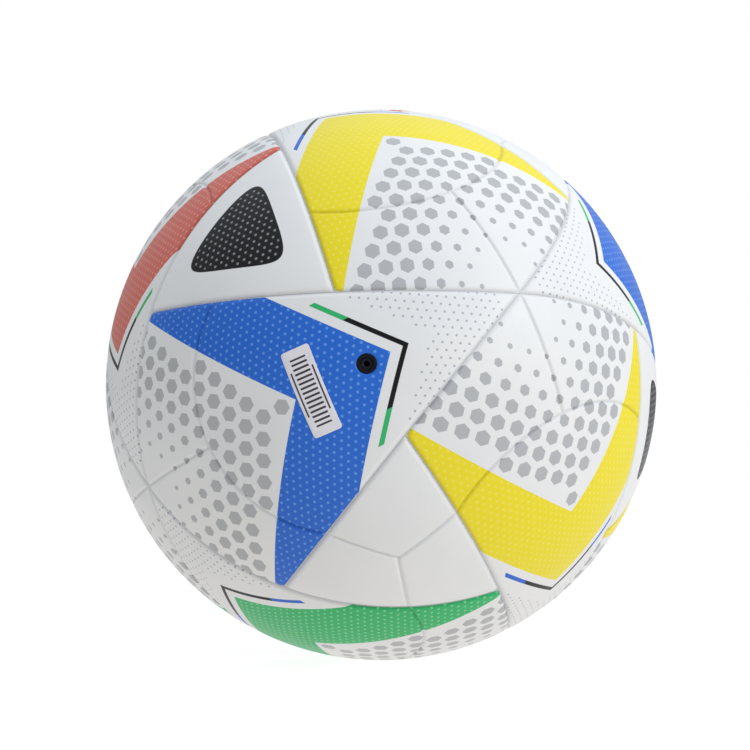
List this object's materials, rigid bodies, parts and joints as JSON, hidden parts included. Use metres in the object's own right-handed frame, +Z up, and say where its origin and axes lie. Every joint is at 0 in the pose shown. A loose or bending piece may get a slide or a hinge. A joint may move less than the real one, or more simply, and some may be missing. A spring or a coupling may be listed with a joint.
{
  "type": "soccer ball",
  "caption": "Inflated soccer ball of thermally bonded kite and triangle panels over foam, carcass, bladder and a needle valve.",
  "frame": {"origin": "centre of the ball", "axes": "-Y points out along the valve and its needle bore; +Z is up as the ball lies with the valve on its equator, turned 26.2 degrees about the valve axis"},
  "size_m": [0.22, 0.2199, 0.2199],
  "materials": {
    "triangle_skin": "satin",
    "kite_skin": "satin",
    "foam": "matte",
    "adhesive": "satin",
    "carcass": "matte",
    "bladder_rubber": "matte",
    "valve_rubber": "matte",
    "core_rubber": "matte"
  },
  "bodies": {
    "root": {"triangle_cover_1": "triangle_skin", "triangle_cover_2": "triangle_skin", "triangle_cover_3": "triangle_skin", "triangle_cover_4": "triangle_skin", "triangle_cover_5": "triangle_skin", "triangle_cover_6": "triangle_skin", "triangle_cover_7": "triangle_skin", "triangle_cover_8": "triangle_skin", "kite_cover_1": "kite_skin", "kite_cover_2": "kite_skin", "kite_cover_3": "kite_skin", "kite_cover_4": "kite_skin", "kite_cover_5": "kite_skin", "kite_cover_6": "kite_skin", "kite_cover_7": "kite_skin", "kite_cover_8": "kite_skin", "kite_cover_9": "kite_skin", "kite_cover_10": "kite_skin", "kite_cover_11": "kite_skin", "kite_cover_12": "kite_skin", "triangle_foam_1": "foam", "triangle_foam_2": "foam", "triangle_foam_3": "foam", "triangle_foam_4": "foam", "triangle_foam_5": "foam", "triangle_foam_6": "foam", "triangle_foam_7": "foam", "triangle_foam_8": "foam", "kite_foam_1": "foam", "kite_foam_2": "foam", "kite_foam_3": "foam", "kite_foam_4": "foam", "kite_foam_5": "foam", "kite_foam_6": "foam", "kite_foam_7": "foam", "kite_foam_8": "foam", "kite_foam_9": "foam", "kite_foam_10": "foam", "kite_foam_11": "foam", "kite_foam_12": "foam", "seam_adhesive": "adhesive", "carcass": "carcass", "bladder": "bladder_rubber", "valve_housing": "valve_rubber", "valve_core": "core_rubber", "balance_patch": "bladder_rubber"}
  },
  "joints": []
}
